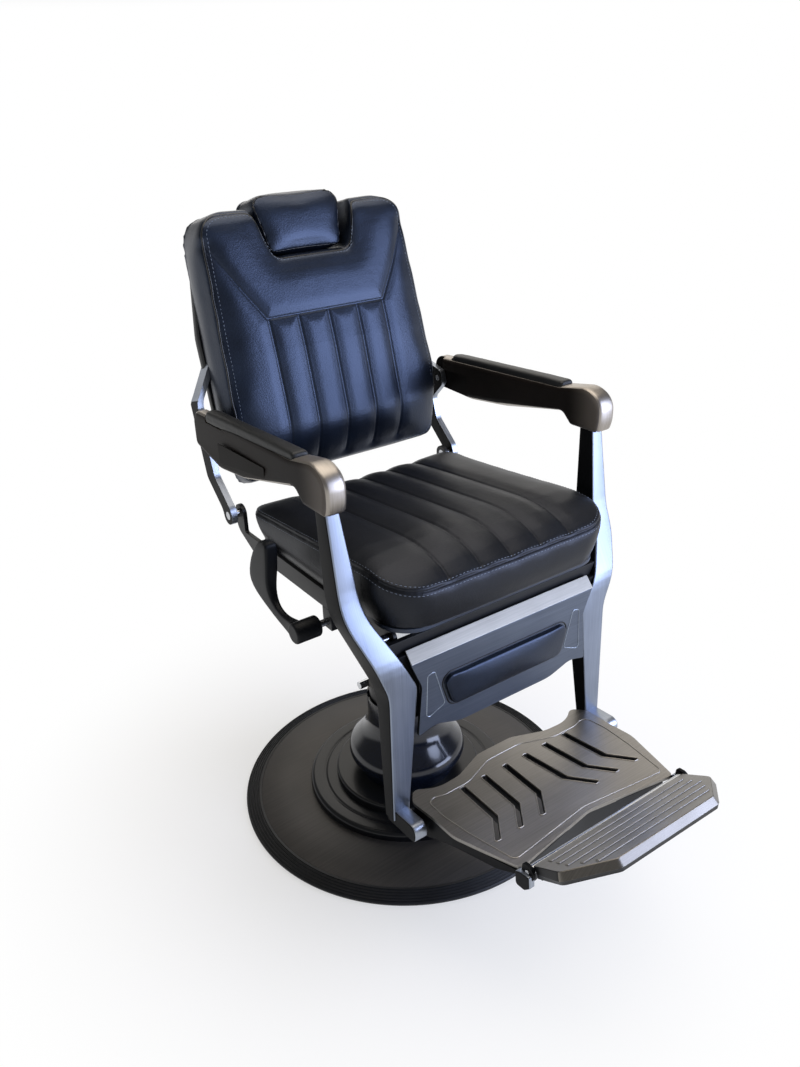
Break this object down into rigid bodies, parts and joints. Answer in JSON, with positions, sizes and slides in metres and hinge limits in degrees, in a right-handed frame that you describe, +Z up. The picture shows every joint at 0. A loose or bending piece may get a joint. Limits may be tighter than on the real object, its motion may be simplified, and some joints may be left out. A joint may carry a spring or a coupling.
{
  "type": "barber chair",
  "caption": "Upholstered barber chair on a round base with a hydraulic column, reclining back, sliding headrest, cast arms and legs, and a folding footrest with a flip plate.",
  "frame": {"origin": "centre of the round base's underside, on the floor, under the lifting column", "axes": "+Z up along the column; the chair faces -Y; the sitter's right hand is on -X"},
  "size_m": [0.6799, 1.0277, 1.1674],
  "materials": {
    "edge_rubber": "satin black",
    "base_paint": "satin charcoal",
    "bell_gloss": "gloss blue-black",
    "frame_paint": "satin black",
    "bright_steel": "bright",
    "ram_chrome": "polished",
    "leg_cast": "brushed gunmetal",
    "bronze_cast": "brushed antique grey",
    "leatherette": "soft sheen black",
    "pad_leatherette": "soft sheen black",
    "board_ply": "dark",
    "pan_grey": "blue-grey",
    "lever_plastic": "matt black",
    "strip_silver": "silver",
    "pad_rubber": "matt"
  },
  "bodies": {
    "base": {"base_edge_ring": "edge_rubber", "base_plate": "base_paint", "base_step": "base_paint", "base_disc": "base_paint", "bell_cover": "bell_gloss", "pump_cylinder": "frame_paint", "pump_head": "frame_paint", "pump_bolts": "bright_steel"},
    "pedal": {"pedal_shaft": "bright_steel", "pedal_arm": "frame_paint", "pedal_pad": "pad_rubber"},
    "lift": {"lift_ram": "ram_chrome", "turntable": "frame_paint", "swivel_bearing": "bright_steel"},
    "seat": {"swivel_hub": "frame_paint", "seat_mount_plate": "frame_paint", "cross_tubes": "frame_paint", "side_rails": "frame_paint", "leg_brackets": "frame_paint", "back_pivot_pins": "bright_steel", "leg_pivot_pins": "bright_steel", "seat_pan": "pan_grey", "seat_cushion": "leatherette", "seat_front_strip": "strip_silver", "lever_block": "frame_paint", "lock_cylinder": "frame_paint", "lock_clamps": "frame_paint"},
    "lever": {"lever_shaft": "bright_steel", "lever_handle": "lever_plastic"},
    "lock_rod": {"lock_rod": "bright_steel"},
    "back": {"back_bars": "leg_cast", "arm_link_pins": "bright_steel", "back_board": "board_ply", "back_cushion": "leatherette", "headrest_socket": "frame_paint"},
    "headrest": {"headrest_post": "bright_steel", "headrest_bracket": "frame_paint", "headrest_cushion": "leatherette"},
    "leg_frame": {"leg_right": "leg_cast", "leg_left": "leg_cast", "toes": "leg_cast", "front_panel": "leg_cast", "panel_strip": "strip_silver", "calf_pad": "pad_leatherette", "leg_cross_bar": "frame_paint", "lock_fork": "frame_paint"},
    "right_arm": {"arm_right": "bronze_cast", "arm_pin_right": "bright_steel", "arm_pad_right": "pad_leatherette"},
    "left_arm": {"arm_left": "bronze_cast", "arm_pin_left": "bright_steel", "arm_pad_left": "pad_leatherette"},
    "footrest": {"footrest_plate": "bronze_cast", "footrest_flanges": "frame_paint", "footrest_pins": "bright_steel", "flip_pins": "bright_steel"},
    "flip": {"flip_tube": "bright_steel", "flip_plate": "bronze_cast", "flip_ribs": "bronze_cast"}
  },
  "joints": [
    {"name": "lift", "type": "slide", "parent": "base", "child": "lift", "axis": [0, 0, 1], "range_m": [-0.115, 0.035]},
    {"name": "swivel", "type": "hinge", "parent": "lift", "child": "seat", "pos_m": [0, 0, 0.5], "axis": [0, 0, 1], "continuous": true},
    {"name": "back_recline", "type": "hinge", "parent": "seat", "child": "back", "pos_m": [0, 0.17, 0.634], "axis": [-1, 0, 0], "range_deg": [0, 40]},
    {"name": "headrest_slide", "type": "slide", "parent": "back", "child": "headrest", "axis": [0, 0.2807, 0.9598], "range_m": [0, 0.09]},
    {"name": "leg_swing", "type": "hinge", "parent": "seat", "child": "leg_frame", "pos_m": [0, -0.255, 0.56], "axis": [-1, 0, 0], "range_deg": [0, 24]},
    {"name": "right_arm_pivot", "type": "hinge", "parent": "leg_frame", "child": "right_arm", "pos_m": [-0.27, -0.206, 0.806], "axis": [-1, 0, 0], "range_deg": [-22, 0]},
    {"name": "left_arm_pivot", "type": "hinge", "parent": "leg_frame", "child": "left_arm", "pos_m": [0.27, -0.206, 0.806], "axis": [-1, 0, 0], "range_deg": [-22, 0]},
    {"name": "lock_rod_slide", "type": "slide", "parent": "seat", "child": "lock_rod", "axis": [0, -1, 0], "range_m": [0, 0.0165]},
    {"name": "footrest_fold", "type": "hinge", "parent": "leg_frame", "child": "footrest", "pos_m": [0, -0.328, 0.234], "axis": [-1, 0, 0], "range_deg": [0, 40]},
    {"name": "flip_plate_fold", "type": "hinge", "parent": "footrest", "child": "flip", "pos_m": [0, -0.551, 0.293], "axis": [-1, 0, 0], "range_deg": [0, 140]},
    {"name": "recline_lever", "type": "hinge", "parent": "seat", "child": "lever", "pos_m": [-0.25, -0.128, 0.543], "axis": [1, 0, 0], "range_deg": [0, 18], "stiffness_Nm_per_rad": 4, "springref_deg": -17.19},
    {"name": "pump_pedal", "type": "hinge", "parent": "base", "child": "pedal", "pos_m": [0, 0.052, 0.245], "axis": [-1, 0, 0], "range_deg": [0, 18], "stiffness_Nm_per_rad": 14, "springref_deg": -17.19}
  ],
  "couplings": [
    {"joint": "leg_swing", "follows": "back_recline", "ratio": 0.5801},
    {"joint": "right_arm_pivot", "follows": "back_recline", "ratio": -0.5246},
    {"joint": "left_arm_pivot", "follows": "back_recline", "ratio": -0.5246},
    {"joint": "lock_rod_slide", "follows": "back_recline", "m_per_rad": 0.0227}
  ]
}
